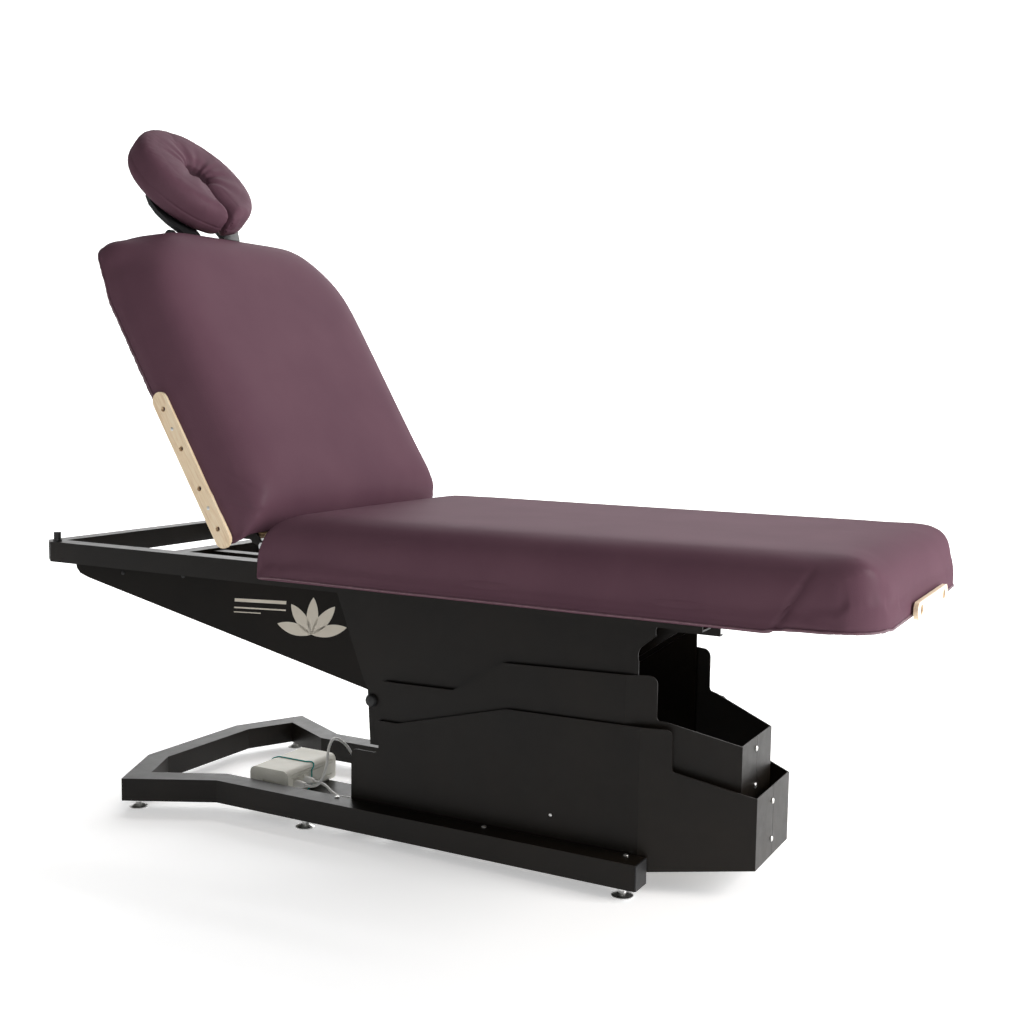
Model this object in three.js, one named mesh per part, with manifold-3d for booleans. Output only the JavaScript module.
// Electric lift spa table: ring base, scissor lift inside three nested side covers, upper frame,
// leg section, raised backrest and a face cradle. Millimetres, +Z up, +X towards the foot end,
// -Y is the near side. The origin is on the floor, below the middle of the table.
import * as THREE from "three";
import { mergeVertices } from "three/addons/utils/BufferGeometryUtils.js";
import Module from "manifold-3d";

const wasm = await Module();
wasm.setup();

// ---- driving dimensions -------------------------------------------------------------------
const GAP = 0.3; // clearance kept between pieces that touch
const RUNNING = 0.15; // radial clearance of a pin in its hole

// base ring: square tube on levelling feet
const TUBE = 50;
const WALL = 3;
const RING_BOTTOM = 22;
const RING_TOP = RING_BOTTOM + TUBE;
const RING_HALF = 222; // outer face of the long rails
const RING_FOOT_X = 482;
const RING_KINK_X = -510;
const RING_CORNER = { x: -695, y: 319 };
const RING_HEAD = { x: -776, y: 154 };
const CROSS_TOP = 50; // low cross members, so that the covers can come down over them
const CROSS_WIDTH = 40;
const FOOT_SPOTS = [["foot", 448, 197], ["mid", -286, 197], ["head", -684, 279]];

// side covers: outer face, sheet thickness, foot-end taper
const SHEET = 2;
const LOWER = { half: 171.5, bendX: 465, endX: 670, endHalf: 100 };
const MIDDLE = { half: 164, bendX: 431, endX: 635, endHalf: 88 };
const UPPER_HALF = 154;

// scissor lift
const ARM = { length: 710, width: 36, thick: 8 };
const BASE_PIVOT = { x: -80, z: 95 };
const TOP_PIVOT = { x: -80, z: 505 };
const ARM_ANGLE = Math.asin((TOP_PIVOT.z - BASE_PIVOT.z) / ARM.length);
const OUTER_ARM_Y = 84; // inner face of the outer arms
const INNER_ARM_Y = 72; // inner face of the inner arms
const SHAFT_R = 9;
const ROLLER_R = 12;

// upper frame
const FRAME_TOP = 578.5;
const FRAME_BOTTOM = 533.5;
const FRAME_HALF = 308;
const RAIL_WIDTH = 40;
const FRAME_HEAD_X = -946;
const FRAME_FOOT_X = 630;

// upholstery
const PAD_HALF = 355;
const SKIRT_BOTTOM = 545;
const PAD_TOP = 680;
const DECK_BOTTOM = 580;
const DECK_TOP = 605;
const LEG_HEAD_X = -295;
const LEG_FOOT_X = 938;
const BACK_NOSE_X = -327; // lower end of the backrest when it lies flat
const BACK_TOP_X = -1060;
const BACK_PAD = { bottom: 540, top: 688, rearCorner: 80, frontCorner: 250, soft: 44 };
const HINGE = { x: -307.8, z: 611.3 };
const BACK_ANGLE = THREE.MathUtils.degToRad(59);
const CRADLE_TILT = THREE.MathUtils.degToRad(-14.4);

// accessory plates and face cradle
const PLATE_THICK = 8;
const POST_Y = 104;
const POST_Z = 592.5;
const POST_R = 7;
const CRADLE_PIVOT = { x: -1082.6, z: POST_Z };
const CRADLE_PAD = { x: -128, radius: 150, hole: 44, slot: 8, edge: 28, thick: 88, bottom: 20 };

// actuators: fixed pivot, rod pivot
const LIFT_ROOT = { x: 20, z: 66 };
const LIFT_REACH = { along: 260, above: 60 };
const BACK_ROOT = { x: -160, z: 466 };
const BACK_EYE_FLAT = { x: HINGE.x - 100, z: HINGE.z - 75 };

// sockets on the control box and the routes of its leads
const SOCKETS = [{ y: -120, z: 60 }, { y: -88, z: 60 }];
const LIFT_LEAD = [
  [-345.7, -120, 60],
  [-330, -120, 60.5],
  [-312, -116, 68],
  [-305, -100, 100],
  [-318, -70, 140],
  [-325, -40, 150],
  [-318, -10, 130],
  [-300, 10, 90],
  [-270, 20, 66],
  [-235, 10, 58],
  [-200, 0, 54],
  [-165, -6, 53.6],
];
const POWER_LEAD = [
  [-345.7, -88, 60],
  [-330, -88, 60],
  [-312, -90, 56],
  [-290, -100, 50],
  [-262, -112, 47],
  [-232, -122, 52],
  [-204, -128, 54],
  [-165, -130, 53.6],
];

// ---- materials ----------------------------------------------------------------------------
const finish = (color, roughness, metalness) =>
  new THREE.MeshStandardMaterial({ color, roughness, metalness });
const BLACK_PAINT = () => finish(0x1b1917, 0.45, 0.4);
const STEEL = () => finish(0xb9bcc0, 0.3, 0.9);
const VINYL = () => finish(0x6d505b, 0.55, 0);
const MAPLE = () => finish(0xe6c79a, 0.5, 0);
const BLACK_PLASTIC = () => finish(0x202022, 0.6, 0);
const GREY_PLASTIC = () => finish(0xc9c7bd, 0.55, 0);
const PLYWOOD = () => finish(0xc9a878, 0.7, 0);
const WHITE_CABLE = () => finish(0xe9e9e6, 0.5, 0);

// ---- shape helpers ------------------------------------------------------------------------
const rad = THREE.MathUtils.degToRad;
const polar = (x, z, r, a) => [x + r * Math.cos(a), z + r * Math.sin(a)];

function shapeOf(points) {
  return new THREE.Shape(points.map(([a, b]) => new THREE.Vector2(a, b)));
}

// points of an arc about (x, z), from angle a0 to a1 in degrees
function arc(x, z, r, a0, a1, steps = 6) {
  const points = [];
  for (let i = 0; i <= steps; i++) points.push(polar(x, z, r, rad(a0 + ((a1 - a0) * i) / steps)));
  return points;
}

// outline in X and Z, extruded from y0 to y1
function prismY(points, y0, y1) {
  const geometry = new THREE.ExtrudeGeometry(shapeOf(points), { depth: y1 - y0, bevelEnabled: false });
  geometry.rotateX(Math.PI / 2); // (x, y, depth) -> (x, -depth, y)
  geometry.translate(0, y1, 0);
  return geometry;
}

// outline in X and Y, extruded from z0 to z1
function prismZ(points, z0, z1) {
  const geometry = new THREE.ExtrudeGeometry(shapeOf(points), { depth: z1 - z0, bevelEnabled: false });
  geometry.translate(0, 0, z0);
  return geometry;
}

// outline in Y and Z, extruded from x0 to x1
function prismX(points, x0, x1) {
  const geometry = new THREE.ExtrudeGeometry(shapeOf(points), { depth: x1 - x0, bevelEnabled: false });
  geometry.rotateX(Math.PI / 2);
  geometry.rotateZ(Math.PI / 2); // (a, b, depth) -> (depth, a, b)
  geometry.translate(x0, 0, 0);
  return geometry;
}

function block(x0, x1, y0, y1, z0, z1) {
  const geometry = new THREE.BoxGeometry(x1 - x0, y1 - y0, z1 - z0);
  geometry.translate((x0 + x1) / 2, (y0 + y1) / 2, (z0 + z1) / 2);
  return geometry;
}

function cylinderY(x, z, r, y0, y1, sides = 20) {
  const geometry = new THREE.CylinderGeometry(r, r, y1 - y0, sides);
  geometry.translate(x, (y0 + y1) / 2, z);
  return geometry;
}

// cutter for a hole in which a round piece of radius r can turn
function boreY(x, z, r, y0, y1) {
  return cylinderY(x, z, (r + RUNNING) / Math.cos(Math.PI / 24), y0, y1, 24);
}

function cylinderZ(x, y, r, z0, z1, sides = 20) {
  const geometry = new THREE.CylinderGeometry(r, r, z1 - z0, sides);
  geometry.rotateX(Math.PI / 2);
  geometry.translate(x, y, (z0 + z1) / 2);
  return geometry;
}

function cylinderX(y, z, r, x0, x1, sides = 20) {
  const geometry = new THREE.CylinderGeometry(r, r, x1 - x0, sides);
  geometry.rotateZ(Math.PI / 2);
  geometry.translate((x0 + x1) / 2, y, z);
  return geometry;
}

// stadium bar in the XZ plane from one pivot to another
function barBetween(a, b, half, y0, y1) {
  const angle = Math.atan2(b.z - a.z, b.x - a.x);
  const degrees = THREE.MathUtils.radToDeg(angle);
  const outline = [
    ...arc(b.x, b.z, half, degrees - 90, degrees + 90, 8),
    ...arc(a.x, a.z, half, degrees + 90, degrees + 270, 8),
  ];
  return prismY(outline, y0, y1);
}

const mirrorY = (geometry) => {
  const copy = geometry.clone().scale(1, -1, 1);
  const index = copy.index;
  if (index) {
    for (let i = 0; i < index.count; i += 3) {
      const a = index.getX(i);
      index.setX(i, index.getX(i + 1));
      index.setX(i + 1, a);
    }
    return copy;
  }
  const p = copy.attributes.position;
  for (let i = 0; i < p.count; i += 3) {
    const a = new THREE.Vector3().fromBufferAttribute(p, i);
    const b = new THREE.Vector3().fromBufferAttribute(p, i + 1);
    p.setXYZ(i, b.x, b.y, b.z);
    p.setXYZ(i + 1, a.x, a.y, a.z);
  }
  return copy;
};

function solid(geometry) {
  const bare = geometry.clone();
  bare.deleteAttribute("normal");
  bare.deleteAttribute("uv");
  const merged = mergeVertices(bare, 1e-4);
  return new wasm.Manifold(
    new wasm.Mesh({
      numProp: 3,
      vertProperties: new Float32Array(merged.attributes.position.array),
      triVerts: new Uint32Array(merged.index.array),
    }),
  );
}

function geometryOf(manifold) {
  const mesh = manifold.getMesh();
  const geometry = new THREE.BufferGeometry();
  geometry.setAttribute("position", new THREE.BufferAttribute(new Float32Array(mesh.vertProperties), 3));
  geometry.setIndex(new THREE.BufferAttribute(new Uint32Array(mesh.triVerts), 1));
  geometry.computeVertexNormals();
  return geometry;
}

const join = (...geometries) => geometryOf(geometries.map(solid).reduce((a, b) => a.add(b)));
const cut = (geometry, ...tools) =>
  geometryOf(tools.map(solid).reduce((a, b) => a.subtract(b), solid(geometry)));
const overlap = (...geometries) => geometryOf(geometries.map(solid).reduce((a, b) => a.intersect(b)));

const table = new THREE.Group();

function add(name, geometry, material, parent = table) {
  const mesh = new THREE.Mesh(geometry, material);
  mesh.name = name;
  parent.add(mesh);
  return mesh;
}

// the same geometry on the near side and, mirrored, on the far side
function addPair(name, nearGeometry, material, parent = table) {
  add(`${name}_near`, nearGeometry, material(), parent);
  add(`${name}_far`, mirrorY(nearGeometry), material(), parent);
}

// ---- base ring ----------------------------------------------------------------------------
// band between the ring's outer outline and the same outline moved in by some distance
function ringOutline(inset) {
  const corners = [
    [RING_FOOT_X, -RING_HALF],
    [RING_KINK_X, -RING_HALF],
    [RING_CORNER.x, -RING_CORNER.y],
    [RING_HEAD.x, -RING_HEAD.y],
    [RING_HEAD.x, RING_HEAD.y],
    [RING_CORNER.x, RING_CORNER.y],
    [RING_KINK_X, RING_HALF],
    [RING_FOOT_X, RING_HALF],
  ];
  return corners.map((_, i) => insetCorner(corners, i, inset));
}

// corner i of an open polyline, moved inwards by a distance, square to its sides
function insetCorner(corners, i, inset) {
  const here = new THREE.Vector2(...corners[i]);
  const before = corners[i - 1] && new THREE.Vector2(...corners[i - 1]);
  const after = corners[i + 1] && new THREE.Vector2(...corners[i + 1]);
  const inward = (from, to) => {
    const d = to.clone().sub(from).normalize();
    return new THREE.Vector2(d.y, -d.x);
  };
  const n1 = before ? inward(before, here) : inward(here, after);
  const n2 = after ? inward(here, after) : inward(before, here);
  const half = n1.clone().add(n2).normalize();
  const reach = inset / half.dot(n1);
  return [here.x + half.x * reach, here.y + half.y * reach];
}

function ringBand(outer, inner, z0, z1, stretch) {
  const out = ringOutline(outer);
  const back = ringOutline(inner).reverse();
  out[0][0] += stretch;
  out[out.length - 1][0] += stretch;
  back[0][0] += stretch;
  back[back.length - 1][0] += stretch;
  return prismZ([...out, ...back], z0, z1);
}

function baseFrame() {
  const tube = ringBand(0, TUBE, RING_BOTTOM, RING_TOP, 0);
  const bore = ringBand(WALL, TUBE - WALL, RING_BOTTOM + WALL, RING_TOP - WALL, 1);
  const members = [-180, BASE_PIVOT.x, LIFT_ROOT.x, 400].map((x) => crossMember(x));
  const ears = [-1, 1].flatMap((side) => [pivotEar(side), clevisEar(side)]);
  const whole = [tube, ...members, ...ears].map(solid).reduce((a, b) => a.add(b));
  const holes = [
    boreY(BASE_PIVOT.x, BASE_PIVOT.z, SHAFT_R, -120, 120),
    boreY(LIFT_ROOT.x, LIFT_ROOT.z, 8, -60, 60),
    ...FOOT_SPOTS.flatMap(([, x, y]) => [-1, 1].map((side) => cylinderZ(x, side * y, 6.3, 10, 40, 16))),
  ];
  return geometryOf([bore, ...holes].map(solid).reduce((a, b) => a.subtract(b), whole));
}

// low channel between the long rails, open underneath
function crossMember(x) {
  const half = CROSS_WIDTH / 2;
  const section = [
    [x - half, RING_BOTTOM],
    [x - half + WALL, RING_BOTTOM],
    [x - half + WALL, CROSS_TOP - WALL],
    [x + half - WALL, CROSS_TOP - WALL],
    [x + half - WALL, RING_BOTTOM],
    [x + half, RING_BOTTOM],
    [x + half, CROSS_TOP],
    [x - half, CROSS_TOP],
  ];
  return prismY(section, -(RING_HALF - TUBE + 1), RING_HALF - TUBE + 1);
}

// plate that carries the lower end of the outer arms
function pivotEar(side) {
  const outline = [
    [BASE_PIVOT.x + 20, CROSS_TOP - 1],
    ...arc(BASE_PIVOT.x, BASE_PIVOT.z, 20, 0, 180, 8),
    [BASE_PIVOT.x - 20, CROSS_TOP - 1],
  ];
  const inner = OUTER_ARM_Y + ARM.thick + 2;
  return side > 0 ? prismY(outline, inner, inner + 6) : prismY(outline, -inner - 6, -inner);
}

// plate that carries the lift actuator's lower pin
function clevisEar(side) {
  const outline = [
    [LIFT_ROOT.x + 16, CROSS_TOP - 1],
    ...arc(LIFT_ROOT.x, LIFT_ROOT.z, 16, 0, 180, 8),
    [LIFT_ROOT.x - 16, CROSS_TOP - 1],
  ];
  return side > 0 ? prismY(outline, 30, 36) : prismY(outline, -36, -30);
}

function ringCap() {
  const inset = WALL + GAP;
  const near = -RING_HALF;
  const square = (x0, x1, margin) =>
    block(x0, x1, near + margin, near + TUBE - margin, RING_BOTTOM + margin, RING_TOP - margin);
  const plug = square(RING_FOOT_X - 12, RING_FOOT_X + 1, inset);
  const face = square(RING_FOOT_X + GAP, RING_FOOT_X + 3, 0.5);
  return join(plug, face);
}

// steel stud with a lock nut and a swivel disc
function levellingFoot(x, y) {
  const profile = [
    [0, 0],
    [21, 0],
    [21, 2.5],
    [12, 6],
    [8, 8],
    [6, 13],
    [10, 13],
    [10, 20],
    [6, 20],
    [6, 46],
    [0, 46],
  ].map(([r, z]) => new THREE.Vector2(r, z));
  const geometry = new THREE.LatheGeometry(profile, 20);
  geometry.rotateX(Math.PI / 2);
  geometry.translate(x, y, 0);
  return geometry;
}

// ---- nested side covers -------------------------------------------------------------------
// one half of a cover in plan: head-end return, long side, tapered part and half of the end face
function coverStrip(size, headX, fold, z0, z1) {
  const outer = [
    [headX, -size.half + fold],
    [headX, -size.half],
    [size.bendX, -size.half],
    [size.endX, -size.endHalf],
    [size.endX, -0.5],
  ];
  const inner = [
    [size.endX - SHEET, -0.5],
    [size.endX - SHEET, -size.endHalf + SHEET * 0.8],
    [size.bendX - SHEET * 0.2, -size.half + SHEET],
    [headX + SHEET, -size.half + SHEET],
    [headX + SHEET, -size.half + fold],
  ];
  return prismZ([...outer, ...inner], z0, z1);
}

function lowerCover() {
  const profile = [
    [-186, 62],
    [460, 62],
    [466, 40],
    [680, 59],
    [680, 194],
    [670, 194],
    [541, 230.5],
    ...arc(531, 242, 9, 225, 180, 3),
    [521.5, 296],
    ...arc(508, 301, 13.5, 0, 80, 4),
    [461, 316],
    [181, 312.5],
    [-71, 248.5],
    [-117.5, 248.5],
    [-117.5, 180],
    ...arc(-129, 192, 12, 0, -90, 3),
    [-174, 180],
    ...arc(-174, 168, 12, 90, 180, 3),
  ];
  const strip = coverStrip(LOWER, -186, 14, 30, 330);
  const step = block(-117, -117 + SHEET, -LOWER.half + 1, -LOWER.half + 14, 176, 330);
  const side = prismY(profile, -LOWER.half - 1, 1);
  return overlap(join(strip, step), side);
}

function middleCover() {
  const profile = [
    [-122, 110],
    [640, 110],
    [640, 283.5],
    [635, 283.5],
    [505, 322.5],
    ...arc(497, 333, 11, 225, 180, 3),
    [486, 390],
    ...arc(470, 394, 16, 0, 80, 4),
    [460, 410],
    [169, 401.5],
    [56, 333],
    [-76, 330.5],
    [-122, 330.5],
  ];
  return overlap(coverStrip(MIDDLE, -112, 7.5, 100, 420), prismY(profile, -MIDDLE.half - 1, 1));
}

// upper side panel: a flat part inside the middle cover, and a wing that spreads to the frame's rail
function upperPanel() {
  const top = FRAME_BOTTOM - GAP;
  const flat = [
    [-150, 190],
    [452, 190],
    [452, 405],
    ...arc(480, 445, 30, 200, 150, 3),
    [484.5, 486],
    ...arc(472, 505, 14, -30, 60, 4),
    [478, top],
    [-248, top],
    [-169, 328.5],
    [-157, 305],
  ];
  const wing = [
    [-157, 305],
    [-169, 328.5],
    [-248, top],
    [-833, top],
    [-831, 526],
    [-822, 515],
    [-806, 508],
    [-795, 504],
  ];
  const side = prismY(flat, -UPPER_HALF, -UPPER_HALF + SHEET);
  return join(side, wingPlate(wing), wingFlange());
}

// the wing's plane: it leaves the flat part along a leaning bend and meets the rail at the head end
const wingY = (x, z) => -143.2 + 0.2638 * x + 0.1029 * z;

function wingPlate(outline) {
  const geometry = prismY(outline, 0, SHEET);
  const p = geometry.attributes.position;
  for (let i = 0; i < p.count; i++) p.setY(i, p.getY(i) + wingY(p.getX(i), p.getZ(i)));
  return geometry;
}

// narrow stiffening flange along the wing's sloping lower edge
function wingFlange() {
  const strip = [
    [-157, 305],
    [-795, 504],
    [-793, 509],
    [-156, 310],
  ];
  const geometry = prismY(strip, SHEET * 0.5, 26);
  const p = geometry.attributes.position;
  for (let i = 0; i < p.count; i++) p.setY(i, p.getY(i) + wingY(p.getX(i), p.getZ(i)));
  return geometry;
}

// ---- scissor lift -------------------------------------------------------------------------
const armEnd = (from, angle, along) => ({
  x: from.x + along * Math.cos(angle),
  z: from.z + along * Math.sin(angle),
});
const CENTRE = armEnd(BASE_PIVOT, ARM_ANGLE, ARM.length / 2);
const UPPER_ROLLER = armEnd(BASE_PIVOT, ARM_ANGLE, ARM.length);
const LOWER_ROLLER = { x: UPPER_ROLLER.x, z: BASE_PIVOT.z };
const TIE_ALONG = 300;
const TIE_R = 11;
const ARM_TIE = armEnd(BASE_PIVOT, ARM_ANGLE, TIE_ALONG);
const LIFT_EYE = {
  x: BASE_PIVOT.x + LIFT_REACH.along * Math.cos(ARM_ANGLE) - LIFT_REACH.above * Math.sin(ARM_ANGLE),
  z: BASE_PIVOT.z + LIFT_REACH.along * Math.sin(ARM_ANGLE) + LIFT_REACH.above * Math.cos(ARM_ANGLE),
};

function outerArmFrame() {
  const half = ARM.width / 2;
  const bars = [-1, 1].map((side) => {
    const y0 = side > 0 ? OUTER_ARM_Y : -OUTER_ARM_Y - ARM.thick;
    return barBetween(BASE_PIVOT, UPPER_ROLLER, half, y0, y0 + ARM.thick);
  });
  const ties = [60, TIE_ALONG, ARM.length - 60].map((along) => {
    const at = armEnd(BASE_PIVOT, ARM_ANGLE, along);
    return cylinderY(at.x, at.z, TIE_R, -OUTER_ARM_Y - 1, OUTER_ARM_Y + 1, 12);
  });
  const lug = barBetween(ARM_TIE, LIFT_EYE, 15, -7, 7);
  const stubs = [-1, 1].map((side) => {
    const y0 = side > 0 ? OUTER_ARM_Y + 1 : -OUTER_ARM_Y - ARM.thick - 12;
    return cylinderY(UPPER_ROLLER.x, UPPER_ROLLER.z, 6, y0, y0 + ARM.thick + 11, 16);
  });
  const whole = [...bars, ...ties, lug, ...stubs].map(solid).reduce((a, b) => a.add(b));
  const holes = [BASE_PIVOT, CENTRE].map(({ x, z }) => boreY(x, z, SHAFT_R, -120, 120));
  return geometryOf(holes.map(solid).reduce((a, b) => a.subtract(b), whole));
}

function innerArmFrame() {
  const half = ARM.width / 2;
  const bars = [-1, 1].map((side) => {
    const y0 = side > 0 ? INNER_ARM_Y : -INNER_ARM_Y - ARM.thick;
    return barBetween(TOP_PIVOT, LOWER_ROLLER, half, y0, y0 + ARM.thick);
  });
  const ties = [60, ARM.length - 60].map((along) => {
    const at = armEnd(TOP_PIVOT, -ARM_ANGLE, along);
    return cylinderY(at.x, at.z, TIE_R, -INNER_ARM_Y - 1, INNER_ARM_Y + 1, 12);
  });
  const stubs = [-1, 1].map((side) => {
    const y0 = side > 0 ? INNER_ARM_Y + 1 : -INNER_ARM_Y - ARM.thick - 13;
    return cylinderY(LOWER_ROLLER.x, LOWER_ROLLER.z, 6, y0, y0 + ARM.thick + 12, 16);
  });
  const whole = [...bars, ...ties, ...stubs].map(solid).reduce((a, b) => a.add(b));
  const holes = [TOP_PIVOT, CENTRE].map(({ x, z }) => boreY(x, z, SHAFT_R, -120, 120));
  return geometryOf(holes.map(solid).reduce((a, b) => a.subtract(b), whole));
}

// shaft with a head at each end
function shaft(at, reach) {
  return join(
    cylinderY(at.x, at.z, SHAFT_R, -reach, reach, 24),
    cylinderY(at.x, at.z, SHAFT_R + 4, -reach - 3, -reach, 24),
    cylinderY(at.x, at.z, SHAFT_R + 4, reach, reach + 3, 24),
  );
}

function roller(at, y0, y1) {
  return cut(cylinderY(at.x, at.z, ROLLER_R, y0, y1, 24), boreY(at.x, at.z, 6, y0 - 1, y1 + 1));
}

// channel that opens towards the middle of the table, for a pair of rollers to run in
function rollerTrack(x0, x1, z, web, lip) {
  const gap = ROLLER_R + 1;
  const wall = 3;
  const section = [
    [-web - wall, z - gap - wall],
    [-lip, z - gap - wall],
    [-lip, z - gap],
    [-web, z - gap],
    [-web, z + gap],
    [-lip, z + gap],
    [-lip, z + gap + wall],
    [-web - wall, z + gap + wall],
  ];
  return prismX(section, x0, x1);
}

const LOWER_TRACK = { x0: 210, x1: 588, web: 94, lip: 82 };
const UPPER_TRACK = { x0: 200, x1: 592, web: 105, lip: 94 };

// base track with the bearer that stands it on the cross members
function baseTrack() {
  const { x0, x1, web, lip } = LOWER_TRACK;
  const bearer = block(x0, x1, -web - 3, -lip, CROSS_TOP + GAP, BASE_PIVOT.z - ROLLER_R - 3);
  return join(rollerTrack(x0, x1, BASE_PIVOT.z, web, lip), bearer);
}

function boxTray() {
  return join(
    block(-475, -200 - GAP, -118, 8, 31, 33.7),
    block(-203 - GAP, -200 - GAP, -118, 8, 31, 49),
  );
}

// ---- actuators ----------------------------------------------------------------------------
// group whose +X runs from the actuator's root pivot to its rod pivot
function actuatorGroup(root, eye) {
  const group = new THREE.Group();
  group.position.set(root.x, 0, root.z);
  group.rotation.y = -Math.atan2(eye.z - root.z, eye.x - root.x);
  table.add(group);
  return group;
}

// side is -1 where the motor lies below the actuator's own line, 1 above it
function motorHousing(reach, side) {
  const outline = [
    ...arc(0, 0, 14, 120, 240, 8),
    [34, -24],
    [72, -24],
    [78, -18],
    [78, 18],
    [72, 24],
    [34, 24],
  ];
  const body = prismY(outline, -24, 24);
  const motor = cylinderX(0, side * 40, 19, 20, 112, 16);
  const neck = block(26, 74, -20, 20, Math.min(side * 34, side * 20), Math.max(side * 34, side * 20));
  const trunnion = cylinderY(0, 0, 8, -reach, reach, 20);
  return join(body, motor, neck, trunnion);
}

function actuatorTube(length) {
  const outside = [[15, 78 + GAP], [21, 78 + GAP], [21, length - 8], [17, length]];
  const bore = [[11.1, length], [11.1, 92], [15, 92]];
  const profile = [...outside, ...bore, outside[0]].map(([r, x]) => new THREE.Vector2(r, x));
  const geometry = new THREE.LatheGeometry(profile, 24);
  geometry.rotateZ(-Math.PI / 2);
  return geometry;
}

// rod with a fork that straddles the driven lug
function actuatorRod(start, reach, gap) {
  const rod = cylinderX(0, 0, 11, start, reach - 27, 16);
  const cheekOutline = [[reach - 36, -14], ...arc(reach, 0, 14, -90, 90, 6), [reach - 36, 14]];
  const cheek = prismY(cheekOutline, -gap - 6, gap + 6);
  const slot = block(reach - 26, reach + 20, -gap, gap, -20, 20);
  const pins = [-gap - 9, gap + 5].map((y0) => cylinderY(reach, 0, 7, y0, y0 + 4, 16));
  return join(rod, cut(cheek, slot), ...pins);
}

// ---- upper frame --------------------------------------------------------------------------
function upperFrame() {
  const rails = [-1, 1].map((side) => {
    const y0 = side > 0 ? FRAME_HALF - RAIL_WIDTH : -FRAME_HALF;
    return block(FRAME_HEAD_X, FRAME_FOOT_X, y0, y0 + RAIL_WIDTH, FRAME_BOTTOM, FRAME_TOP);
  });
  const bores = [-1, 1].map((side) => {
    const y0 = side > 0 ? FRAME_HALF - RAIL_WIDTH : -FRAME_HALF;
    const inner = [y0 + WALL, y0 + RAIL_WIDTH - WALL, FRAME_BOTTOM + WALL, FRAME_TOP - WALL];
    return block(FRAME_HEAD_X + WALL, FRAME_FOOT_X + 1, ...inner);
  });
  const crossbarPlaces = [FRAME_HEAD_X + 20, -560, BACK_ROOT.x, 60, 440, FRAME_FOOT_X - 26];
  const crossbars = crossbarPlaces.map((x) => frameCrossbar(x));
  const inner = [-1, 1].map((side) => {
    const y = side * 180;
    return block(-560, 440, y - 15, y + 15, FRAME_BOTTOM + 10, FRAME_TOP - 5);
  });
  const ears = [-1, 1].map((side) => hingeEar(side));
  const brackets = [-1, 1].flatMap((side) => [topPivotPlate(side), backClevis(side), trackHanger(side)]);
  const tubes = [...rails, ...crossbars, ...inner, ...ears, ...brackets]
    .map(solid)
    .reduce((a, b) => a.add(b));
  const holes = [
    ...bores,
    ...[-192, 168].map((y0) => block(-559, 441, y0, y0 + 24, FRAME_BOTTOM + 8, FRAME_TOP - 8)),
    boreY(HINGE.x, HINGE.z, 5, -FRAME_HALF - 5, FRAME_HALF + 5),
    boreY(TOP_PIVOT.x, TOP_PIVOT.z, SHAFT_R, -120, 120),
    boreY(BACK_ROOT.x, BACK_ROOT.z, 8, -60, 60),
    ...[-1, 1].map((side) => railChamfer(side)),
  ];
  return geometryOf(holes.map(solid).reduce((a, b) => a.subtract(b), tubes));
}

// cutter for the outer corner of a rail's head end, which goes inside the backrest's round corner
function railChamfer(side) {
  const corner = [
    [FRAME_HEAD_X - 1, side * (FRAME_HALF + 1)],
    [FRAME_HEAD_X + 34, side * (FRAME_HALF + 1)],
    [FRAME_HEAD_X - 1, side * (FRAME_HALF - 26)],
  ];
  return prismZ(corner, FRAME_BOTTOM - 1, FRAME_TOP + 1);
}

function frameCrossbar(x) {
  const half = 20;
  const section = [
    [x - half, FRAME_BOTTOM],
    [x - half + WALL, FRAME_BOTTOM],
    [x - half + WALL, FRAME_TOP - WALL],
    [x + half - WALL, FRAME_TOP - WALL],
    [x + half - WALL, FRAME_BOTTOM],
    [x + half, FRAME_BOTTOM],
    [x + half, FRAME_TOP],
    [x - half, FRAME_TOP],
  ];
  return prismY(section, -FRAME_HALF + 1, FRAME_HALF - 1);
}

// upright plate on the rail that carries the backrest's hinge pin
function hingeEar(side) {
  const outline = [
    [HINGE.x + 18, FRAME_TOP - 1],
    ...arc(HINGE.x, HINGE.z, 10, 0, 180, 8),
    [HINGE.x - 18, FRAME_TOP - 1],
  ];
  return side > 0 ? prismY(outline, 298, 304) : prismY(outline, -304, -298);
}

function topPivotPlate(side) {
  const outline = [
    [TOP_PIVOT.x - 20, FRAME_BOTTOM + 20],
    ...arc(TOP_PIVOT.x, TOP_PIVOT.z, 20, 180, 360, 8),
    [TOP_PIVOT.x + 20, FRAME_BOTTOM + 20],
  ];
  const y0 = INNER_ARM_Y + ARM.thick + 2;
  const bearerY = side > 0 ? y0 - 6 : -y0 - 12;
  const bearer = block(-210, 65, bearerY, bearerY + 18, FRAME_BOTTOM, FRAME_BOTTOM + 22);
  const plate = side > 0 ? prismY(outline, y0, y0 + 6) : prismY(outline, -y0 - 6, -y0);
  return join(bearer, plate);
}

function backClevis(side) {
  const outline = [
    [BACK_ROOT.x - 19, FRAME_BOTTOM + 5],
    ...arc(BACK_ROOT.x, BACK_ROOT.z, 16, 180, 360, 8),
    [BACK_ROOT.x + 19, FRAME_BOTTOM + 5],
  ];
  return side > 0 ? prismY(outline, 28, 34) : prismY(outline, -34, -28);
}

// bearer from which an upper track hangs
function trackHanger(side) {
  const y0 = UPPER_TRACK.lip;
  const y1 = UPPER_TRACK.web + 3;
  return block(60, 592, side > 0 ? y0 : -y1, side > 0 ? y1 : -y0, TOP_PIVOT.z + 17, FRAME_BOTTOM + 12);
}

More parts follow.
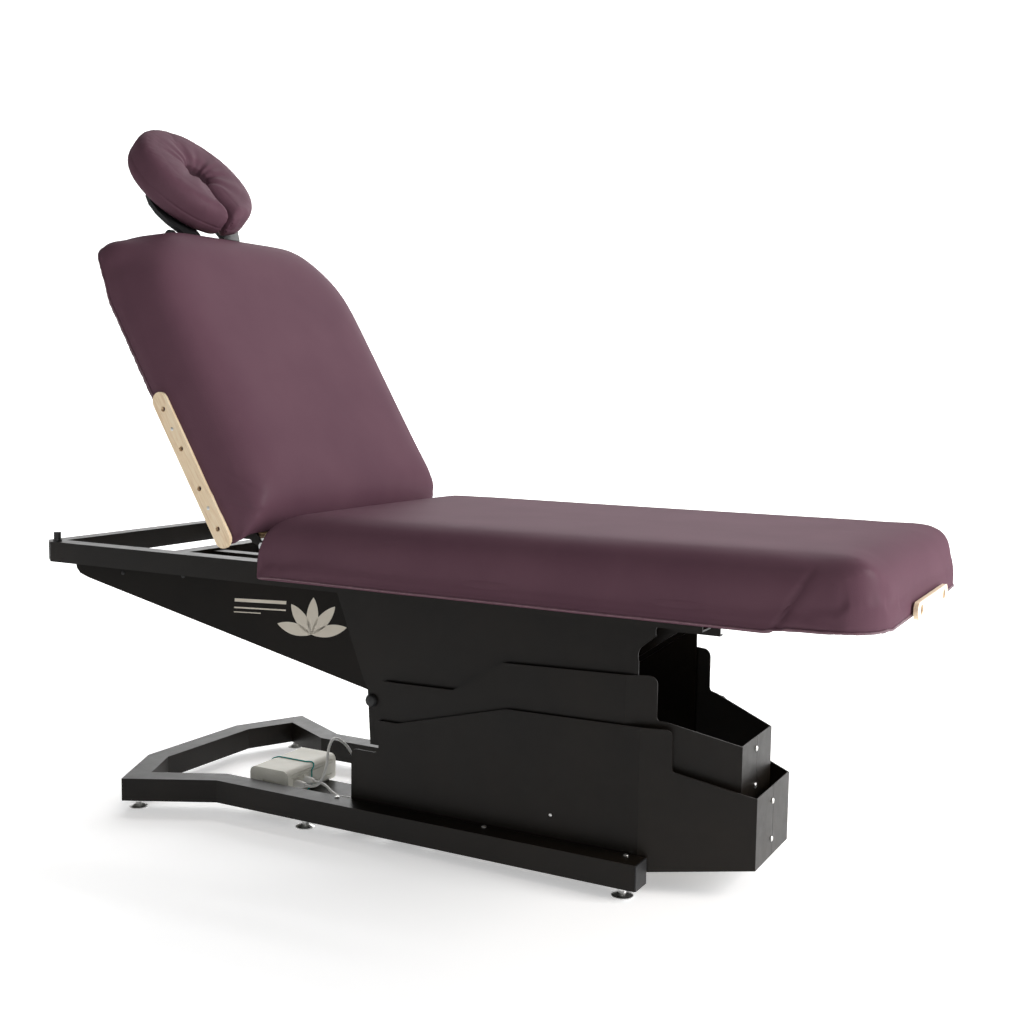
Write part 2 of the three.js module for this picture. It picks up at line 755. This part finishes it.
const BACK_EYE_ARM = { x: BACK_EYE_FLAT.x - HINGE.x, z: BACK_EYE_FLAT.z - HINGE.z };
const BACK_EYE = {
  x: HINGE.x + BACK_EYE_ARM.x * Math.cos(BACK_ANGLE) + BACK_EYE_ARM.z * Math.sin(BACK_ANGLE),
  z: HINGE.z - BACK_EYE_ARM.x * Math.sin(BACK_ANGLE) + BACK_EYE_ARM.z * Math.cos(BACK_ANGLE),
};

function headPeg() {
  const y = -FRAME_HALF + 10;
  return join(
    cylinderZ(FRAME_HEAD_X + 45, y, 8, FRAME_TOP + GAP, 600, 20),
    cylinderZ(FRAME_HEAD_X + 45, y, 10, FRAME_TOP + GAP, FRAME_TOP + 5, 20),
  );
}

function hingePin() {
  return join(
    cylinderY(HINGE.x, HINGE.z, 5, -308, -287, 20),
    cylinderY(HINGE.x, HINGE.z, 8, -311, -308, 20),
  );
}

function legDeck() {
  return prismZ(padPlan(LEG_HEAD_X + 16, LEG_FOOT_X - 16, 330, 82), DECK_BOTTOM, DECK_TOP);
}

// ---- upholstered sections -----------------------------------------------------------------
// plan of a pad: square at one end, round corners at the other
function padPlan(xSquare, xRound, half, corner) {
  const way = Math.sign(xRound - xSquare);
  const sweep = way > 0 ? [-90, 0] : [270, 180];
  const near = arc(xRound - way * corner, -half + corner, corner, ...sweep, 8);
  const far = near.map(([x, y]) => [x, -y]).reverse();
  return [[xSquare, -half], ...near, ...far, [xSquare, half]];
}

// section across a pad: crowned top with soft upper edges
function padSection(half, bottom, top, soft) {
  return [
    [-half, bottom],
    [half, bottom],
    ...arc(half - soft, top - soft, soft, 0, 90, 6),
    ...arc(-half + soft, top - soft, soft, 90, 180, 6),
  ];
}

function legCushion() {
  const side = [
    [LEG_HEAD_X, SKIRT_BOTTOM],
    [758, SKIRT_BOTTOM],
    [764, SKIRT_BOTTOM + 8],
    [LEG_FOOT_X, SKIRT_BOTTOM + 8],
    ...arc(LEG_FOOT_X - 50, PAD_TOP - 50, 50, 0, 90, 6),
    ...arc(LEG_HEAD_X + 56, PAD_TOP - 56, 56, 90, 180, 6),
  ];
  const body = overlap(
    prismY(side, -PAD_HALF - 1, PAD_HALF + 1),
    prismX(padSection(PAD_HALF, SKIRT_BOTTOM, PAD_TOP, 50), LEG_HEAD_X - 1, LEG_FOOT_X + 1),
    prismZ(padPlan(LEG_HEAD_X, LEG_FOOT_X, PAD_HALF, 96), SKIRT_BOTTOM - 1, PAD_TOP + 1),
  );
  const innerPlan = padPlan(LEG_HEAD_X - 1, LEG_FOOT_X - 15, PAD_HALF - 15, 82);
  const inner = prismZ(innerPlan, SKIRT_BOTTOM - 1, DECK_TOP + GAP);
  return cut(body, inner);
}

// backrest group: built as it lies flat, then turned about the hinge
const back = new THREE.Group();
back.position.set(HINGE.x, 0, HINGE.z);
back.rotation.y = BACK_ANGLE;
const flat = (geometry) => geometry.translate(-HINGE.x, 0, -HINGE.z);

function backCushion() {
  const { bottom, top, rearCorner, frontCorner, soft } = BACK_PAD;
  const side = [
    [BACK_NOSE_X - 30, bottom],
    [BACK_NOSE_X - 5, bottom + 27],
    [BACK_NOSE_X, bottom + 66],
    ...arc(BACK_NOSE_X - 74, top - 74, 74, 0, 90, 8),
    ...arc(BACK_TOP_X + 50, top - 50, 50, 90, 180, 6),
    [BACK_TOP_X, bottom],
  ];
  const rear = padPlan(BACK_NOSE_X + 1, BACK_TOP_X, PAD_HALF, rearCorner).reverse();
  const front = padPlan(BACK_NOSE_X + 1, BACK_TOP_X, PAD_HALF, frontCorner).reverse();
  const body = overlap(
    prismY(side, -PAD_HALF - 1, PAD_HALF + 1),
    prismX(padSection(PAD_HALF, bottom, top, soft), BACK_TOP_X - 1, BACK_NOSE_X + 1),
    loft(rear, bottom - 1, front, top + 1),
  );
  const innerPlan = padPlan(BACK_NOSE_X + 2, BACK_TOP_X + 15, PAD_HALF - 15, 150);
  const inner = prismZ(innerPlan, bottom - 1, DECK_TOP + GAP);
  const posts = [-POST_Y, POST_Y].map((y) =>
    cylinderX(y, POST_Z, POST_R + 1, BACK_TOP_X - 1, BACK_TOP_X + 20));
  return flat(cut(body, inner, ...posts));
}

// solid between two anticlockwise outlines in X and Y that have the same number of points
function loft(lower, z0, upper, z1) {
  const n = lower.length;
  const at = (points, i, z) => [points[i % n][0], points[i % n][1], z];
  const corners = [];
  for (let i = 0; i < n; i++) {
    const [a, b] = [at(lower, i, z0), at(lower, i + 1, z0)];
    const [c, d] = [at(upper, i, z1), at(upper, i + 1, z1)];
    corners.push(a, b, d, a, d, c);
  }
  for (let i = 1; i < n - 1; i++) {
    corners.push(at(lower, 0, z0), at(lower, i + 1, z0), at(lower, i, z0));
    corners.push(at(upper, 0, z1), at(upper, i, z1), at(upper, i + 1, z1));
  }
  const geometry = new THREE.BufferGeometry();
  geometry.setAttribute("position", new THREE.Float32BufferAttribute(corners.flat(), 3));
  return geometry;
}

// strap that carries the backrest on the hinge pin, screwed to the board's edge
function hingeStrap() {
  const outline = [
    ...arc(HINGE.x, HINGE.z, 8.5, -60, 180, 8),
    [HINGE.x - 8.5, DECK_TOP - 2],
    [HINGE.x - 22, DECK_TOP - 4],
    [HINGE.x - 150, DECK_TOP - 4],
    [HINGE.x - 150, DECK_BOTTOM + 2],
    [HINGE.x - 22, DECK_BOTTOM + 2],
  ];
  return flat(cut(prismY(outline, -296, -290), boreY(HINGE.x, HINGE.z, 5, -300, -280)));
}

// board with a bore in each side of its head end for the face cradle's posts
function backBoard() {
  const board = prismZ(padPlan(BACK_NOSE_X - 10, BACK_TOP_X + 16, 286, 190), DECK_BOTTOM, DECK_TOP);
  const bores = [-POST_Y, POST_Y].map((y) =>
    cylinderX(y, POST_Z, POST_R + 0.4, BACK_TOP_X + 10, BACK_TOP_X + 112));
  const lug = backLug();
  return flat(cut(join(board, lug), ...bores, cylinderY(BACK_EYE_FLAT.x, BACK_EYE_FLAT.z, 3, -20, 20, 12)));
}

// steel lug below the board, which the backrest actuator drives
function backLug() {
  const outline = [
    [BACK_EYE_FLAT.x - 16, DECK_BOTTOM + 1],
    ...arc(BACK_EYE_FLAT.x, BACK_EYE_FLAT.z, 12, 180, 360, 8),
    [BACK_EYE_FLAT.x + 16, DECK_BOTTOM + 1],
  ];
  return prismY(outline, -7, 7);
}

// maple strip with round ends and a row of accessory holes, standing on a pad's side
function accessoryPlate(x0, x1, z0, z1, holes, r) {
  const half = (z1 - z0) / 2;
  const z = (z0 + z1) / 2;
  const ends = [{ x: x0 + half, z }, { x: x1 - half, z }];
  const plate = barBetween(...ends, half, -PAD_HALF - PLATE_THICK, -PAD_HALF - GAP);
  const bores = holes.map((x) => cylinderY(x, z, r, -PAD_HALF - PLATE_THICK - 1, -PAD_HALF + 1, 16));
  return cut(plate, ...bores);
}

// the same strip across an end of a pad
function endPlate(x0, x1, halfLength, z0, z1, holeY, r) {
  const half = (z1 - z0) / 2;
  const z = (z0 + z1) / 2;
  const outline = [
    ...arc(halfLength - half, z, half, -90, 90, 8),
    ...arc(-halfLength + half, z, half, 90, 270, 8),
  ];
  const bores = [-1, 1].map((side) => cylinderX(side * holeY, z, r, x0 - 1, x1 + 1, 16));
  return cut(prismX(outline, x0, x1), ...bores);
}

// ---- face cradle --------------------------------------------------------------------------
const cradle = new THREE.Group();
cradle.position.set(CRADLE_PIVOT.x - HINGE.x, 0, CRADLE_PIVOT.z - HINGE.z);
cradle.rotation.y = CRADLE_TILT;
back.add(cradle);

function cradlePosts() {
  const tube = cylinderY(CRADLE_PIVOT.x, CRADLE_PIVOT.z, 8, -112, 112, 24);
  const posts = [-POST_Y, POST_Y].map((y) =>
    cylinderX(y, POST_Z, POST_R, CRADLE_PIVOT.x, BACK_TOP_X + 100, 20));
  return flat(join(tube, ...posts));
}

// thin platform under the cradle's cushion, with two knuckles round the cross tube
function cradlePlatform() {
  const outline = [
    [6, -96],
    ...arc(-70, -30, 98, -65, -180, 6),
    ...arc(-70, 30, 98, 180, 65, 6),
    [6, 96],
    [6, 40],
    ...arc(-120, 0, 46, 60, 300, 8),
    [6, -40],
  ];
  const plate = prismZ(outline, 9, 19);
  const knuckles = [-1, 1].map((side) => {
    const y0 = side > 0 ? 60 : -84;
    return join(cylinderY(0, 0, 14, y0, y0 + 24, 20), block(-14, 5, y0, y0 + 24, 2, 10));
  });
  const bore = boreY(0, 0, 8, -120, 120);
  return cut(join(plate, ...knuckles), bore);
}

// crescent pad with a slot that opens towards the backrest
function cradleCushion() {
  const { x, radius, hole, slot, edge } = CRADLE_PAD;
  const inner = radius - edge;
  const mouth = THREE.MathUtils.radToDeg(Math.asin((slot + edge) / inner));
  const throat = THREE.MathUtils.radToDeg(Math.asin((slot + edge) / (hole + edge)));
  const outside = arc(x, 0, inner, mouth, 360 - mouth, 32);
  const outline = [...outside, ...arc(x, 0, hole + edge, 360 - throat, throat, 16)];
  const geometry = new THREE.ExtrudeGeometry(shapeOf(outline), {
    depth: CRADLE_PAD.thick - 2 * edge,
    bevelThickness: edge,
    bevelSize: edge,
    bevelSegments: 4,
  });
  geometry.translate(0, 0, CRADLE_PAD.bottom + edge);
  return geometry;
}

// cam lever at the near end of the cross tube
function cradleLever() {
  const y0 = -124;
  const hub = cylinderY(0, 0, 13, y0, y0 + 11, 20);
  const handle = barBetween({ x: 0, z: 0 }, { x: -14, z: -48 }, 7, y0, y0 + 6);
  return join(hub, handle);
}

// ---- control box and leads ----------------------------------------------------------------
const BOX = { x0: -478, x1: -372, y0: -147, y1: 27, z0: 34, z1: 92 };

function controlBox() {
  const r = 14;
  const section = [
    [BOX.x0 + 4, BOX.z0],
    [BOX.x1 - 4, BOX.z0],
    [BOX.x1, BOX.z0 + 6],
    ...arc(BOX.x1 - r, BOX.z1 - r, r, 0, 90, 4),
    ...arc(BOX.x0 + r, BOX.z1 - r, r, 90, 180, 4),
    [BOX.x0, BOX.z0 + 6],
  ];
  const body = prismY(section, BOX.y0, BOX.y1);
  const slot = block(BOX.x0 + 34, BOX.x0 + 78, BOX.y0 - 1, BOX.y0 + 5, 60, 65);
  const sockets = SOCKETS.map((s) => cylinderX(s.y, s.z, 9, BOX.x1 - 8, BOX.x1 + 1, 16));
  const ribs = [48, 74, 80].map((z) => block(BOX.x1 - 2, BOX.x1 + 1, BOX.y0 + 12, BOX.y1 - 12, z, z + 1.5));
  return cut(body, slot, ...sockets, ...ribs);
}

function leadPlug(socket) {
  const outline = [[0, -6], [8.5, -6], [8.5, 14], [6, 26], [3.4, 26], [0, 26]];
  const profile = outline.map(([r, x]) => new THREE.Vector2(r, x));
  const geometry = new THREE.LatheGeometry(profile, 16);
  geometry.rotateZ(-Math.PI / 2);
  geometry.translate(BOX.x1, socket.y, socket.z);
  return geometry;
}

// round lead along a smooth curve through hand-picked points
function lead(points, r, steps) {
  const path = new THREE.CatmullRomCurve3(points.map(([x, y, z]) => new THREE.Vector3(x, y, z)));
  const section = new THREE.Shape();
  for (let i = 0; i < 8; i++) {
    const a = (i / 8) * 2 * Math.PI;
    if (i === 0) section.moveTo(r, 0);
    else section.lineTo(r * Math.cos(a), r * Math.sin(a));
  }
  return new THREE.ExtrudeGeometry(section, { extrudePath: path, steps });
}

// ---- assembly -----------------------------------------------------------------------------
add("base_frame", baseFrame(), BLACK_PAINT());
addPair("ring_cap", ringCap(), BLACK_PLASTIC);
for (const [place, x, y] of FOOT_SPOTS) {
  add(`leveller_${place}_near`, levellingFoot(x, -y), STEEL());
  add(`leveller_${place}_far`, levellingFoot(x, y), STEEL());
}
addPair("lower_cover", lowerCover(), BLACK_PAINT);
addPair("middle_cover", middleCover(), BLACK_PAINT);
addPair("upper_panel", upperPanel(), BLACK_PAINT);

add("outer_arm_frame", outerArmFrame(), BLACK_PAINT());
add("inner_arm_frame", innerArmFrame(), BLACK_PAINT());
add("base_pivot_shaft", shaft(BASE_PIVOT, 101), STEEL());
add("top_pivot_shaft", shaft(TOP_PIVOT, 89), STEEL());
add("centre_shaft", shaft(CENTRE, 93), STEEL());
addPair("base_roller", roller(LOWER_ROLLER, -92.5, -INNER_ARM_Y - ARM.thick - 1), BLACK_PLASTIC);
addPair("top_roller", roller(UPPER_ROLLER, -103.5, -OUTER_ARM_Y - ARM.thick - 1), BLACK_PLASTIC);
addPair("base_track", baseTrack(), BLACK_PAINT);
const topTrack = rollerTrack(UPPER_TRACK.x0, UPPER_TRACK.x1, TOP_PIVOT.z, UPPER_TRACK.web, UPPER_TRACK.lip);
addPair("top_track", topTrack, BLACK_PAINT);

const liftActuator = actuatorGroup(LIFT_ROOT, LIFT_EYE);
const liftLength = Math.hypot(LIFT_EYE.x - LIFT_ROOT.x, LIFT_EYE.z - LIFT_ROOT.z);
add("lift_motor", motorHousing(36, -1), BLACK_PLASTIC(), liftActuator);
add("lift_tube", actuatorTube(176), STEEL(), liftActuator);
add("lift_rod", actuatorRod(118, liftLength, 8), STEEL(), liftActuator);

const backActuator = actuatorGroup(BACK_ROOT, BACK_EYE);
const backLength = Math.hypot(BACK_EYE.x - BACK_ROOT.x, BACK_EYE.z - BACK_ROOT.z);
add("backrest_motor", motorHousing(34, 1), BLACK_PLASTIC(), backActuator);
add("backrest_tube", actuatorTube(212), STEEL(), backActuator);
add("backrest_rod", actuatorRod(166, backLength, 8), STEEL(), backActuator);

add("upper_frame", upperFrame(), BLACK_PAINT());
addPair("head_peg", headPeg(), BLACK_PLASTIC);
addPair("hinge_pin", hingePin(), STEEL);

add("leg_deck", legDeck(), PLYWOOD());
add("leg_cushion", legCushion(), VINYL());
add("foot_plate", endPlate(LEG_FOOT_X + GAP, LEG_FOOT_X + PLATE_THICK, 135, 557, 588, 101.5, 9), MAPLE());

table.add(back);
add("back_board", backBoard(), PLYWOOD(), back);
add("back_cushion", backCushion(), VINYL(), back);
addPair("hinge_strap", hingeStrap(), BLACK_PAINT, back);
const sideHoles = [0, 1, 2, 3].map((i) => BACK_NOSE_X - 47 - i * 91.8);
const sidePlate = accessoryPlate(BACK_NOSE_X - 360, BACK_NOSE_X - 5, 551, 590, sideHoles, 5.5);
addPair("side_plate", flat(sidePlate), MAPLE, back);
const headPlateX = [BACK_TOP_X - PLATE_THICK, BACK_TOP_X - GAP];
const headPlate = endPlate(...headPlateX, 125, POST_Z - 15, POST_Z + 15, POST_Y, POST_R + 0.6);
add("head_plate", flat(headPlate), MAPLE(), back);

add("cradle_posts", cradlePosts(), BLACK_PAINT(), back);
add("cradle_platform", cradlePlatform(), BLACK_PLASTIC(), cradle);
add("cradle_cushion", cradleCushion(), VINYL(), cradle);
add("cradle_lever", cradleLever(), BLACK_PLASTIC(), cradle);

add("box_tray", boxTray(), BLACK_PAINT());
add("control_box", controlBox(), GREY_PLASTIC());
add("lift_plug", leadPlug(SOCKETS[0]), WHITE_CABLE());
add("power_plug", leadPlug(SOCKETS[1]), WHITE_CABLE());
add("lift_lead", lead(LIFT_LEAD, 3, 60), WHITE_CABLE());
add("power_lead", lead(POWER_LEAD, 3, 40), WHITE_CABLE());

export default table;
